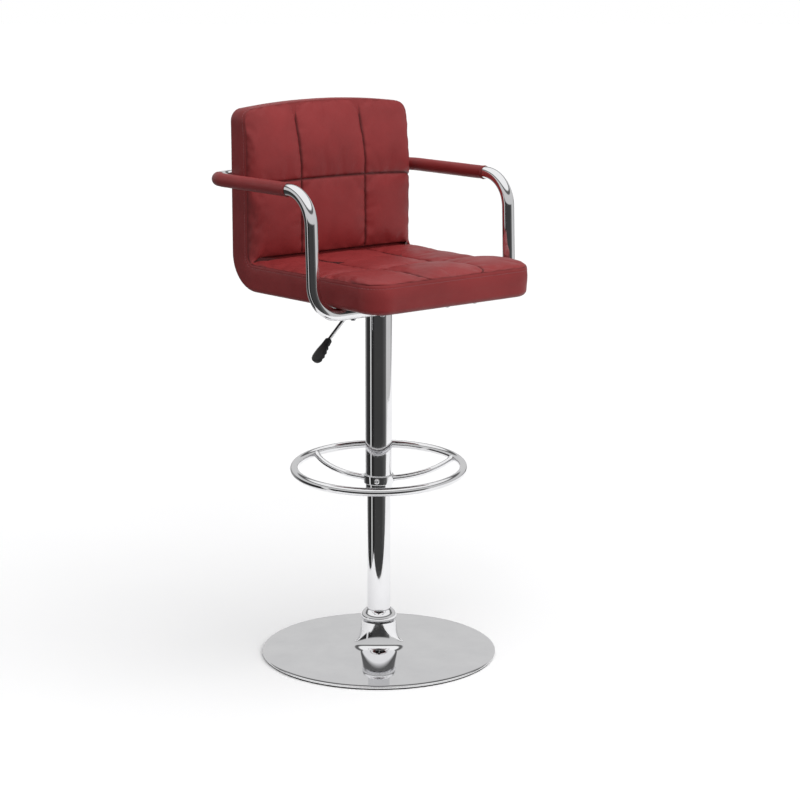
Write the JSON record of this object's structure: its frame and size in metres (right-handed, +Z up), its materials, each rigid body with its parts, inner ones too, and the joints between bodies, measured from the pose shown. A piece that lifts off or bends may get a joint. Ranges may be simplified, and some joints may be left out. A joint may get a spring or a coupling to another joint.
{
  "type": "bar stool",
  "caption": "Height-adjustable swivel bar stool with armrests, an L-shaped quilted seat and back, a gas lift column, a ring footrest, a height lever and a round pedestal base.",
  "frame": {"origin": "centre of the base's underside, on the column axis", "axes": "+Z up along the column; -Y towards the front of the seat; -X towards the sitter's right, where the height lever is"},
  "size_m": [0.508, 0.457, 1.0684],
  "materials": {
    "chrome": "polished chrome plate",
    "black_steel": "black enamel, satin",
    "plain_steel": "zinc plated or ground bright",
    "black_plastic": "moulded, fine matte texture",
    "rubber": "smooth matte",
    "vinyl": "burgundy vinyl with a fine leather grain and a soft satin sheen",
    "foam": "open-cell upholstery foam",
    "plywood": "bare moulded plywood",
    "dust_cloth": "black non-woven cloth"
  },
  "bodies": {
    "base": {"base_cover": "chrome", "base_weight": "black_steel", "floor_ring": "rubber", "flange_ring": "chrome", "lower_tube": "chrome", "tube_foot": "plain_steel", "thrust_bearing": "plain_steel", "guide_bushing": "black_plastic"},
    "piston": {"piston_rod": "plain_steel", "rod_clip": "plain_steel"},
    "seat": {"gas_cylinder": "black_steel", "upper_sleeve": "chrome", "sleeve_bush": "black_plastic", "footrest_ring": "chrome", "footrest_collar": "chrome", "footrest_spoke_left": "chrome", "footrest_spoke_right": "chrome", "collar_screw": "chrome", "seat_plate": "black_steel", "lever_pivot_pin": "plain_steel", "ply_shell": "plywood", "seat_foam": "foam", "back_foam": "foam", "side_band": "vinyl", "seat_pad": "vinyl", "back_pad": "vinyl", "dust_cover": "dust_cloth", "arm_tube_left": "chrome", "arm_tube_right": "chrome", "arm_cover_left": "vinyl", "arm_cover_right": "vinyl", "plate_bolt_1": "plain_steel", "plate_bolt_2": "plain_steel", "plate_bolt_3": "plain_steel", "plate_bolt_4": "plain_steel", "arm_seat_screw_left_1": "plain_steel", "arm_seat_screw_left_2": "plain_steel", "arm_seat_screw_right_1": "plain_steel", "arm_seat_screw_right_2": "plain_steel", "arm_back_screw_left_1": "plain_steel", "arm_back_screw_left_2": "plain_steel", "arm_back_screw_right_1": "plain_steel", "arm_back_screw_right_2": "plain_steel"},
    "lever": {"lever_rod": "chrome", "lever_grip": "black_plastic"},
    "release_pin": {"release_pin": "plain_steel"}
  },
  "joints": [
    {"name": "seat_swivel", "type": "hinge", "parent": "base", "child": "piston", "pos_m": [0, 0, 0], "axis": [0, 0, 1], "continuous": true},
    {"name": "height_adjust", "type": "slide", "parent": "piston", "child": "seat", "axis": [0, 0, 1], "range_m": [-0.135, 0.0809]},
    {"name": "lever_lift", "type": "hinge", "parent": "seat", "child": "lever", "pos_m": [-0.019, 0, 0.702], "axis": [0, 1, 0], "range_deg": [0, 8], "stiffness_Nm_per_rad": 10, "springref_deg": -5.73},
    {"name": "release_pin_press", "type": "slide", "parent": "seat", "child": "release_pin", "axis": [0, 0, -1], "range_m": [0, 0.0031]}
  ],
  "couplings": [
    {"joint": "release_pin_press", "follows": "lever_lift", "m_per_rad": 0.022}
  ]
}
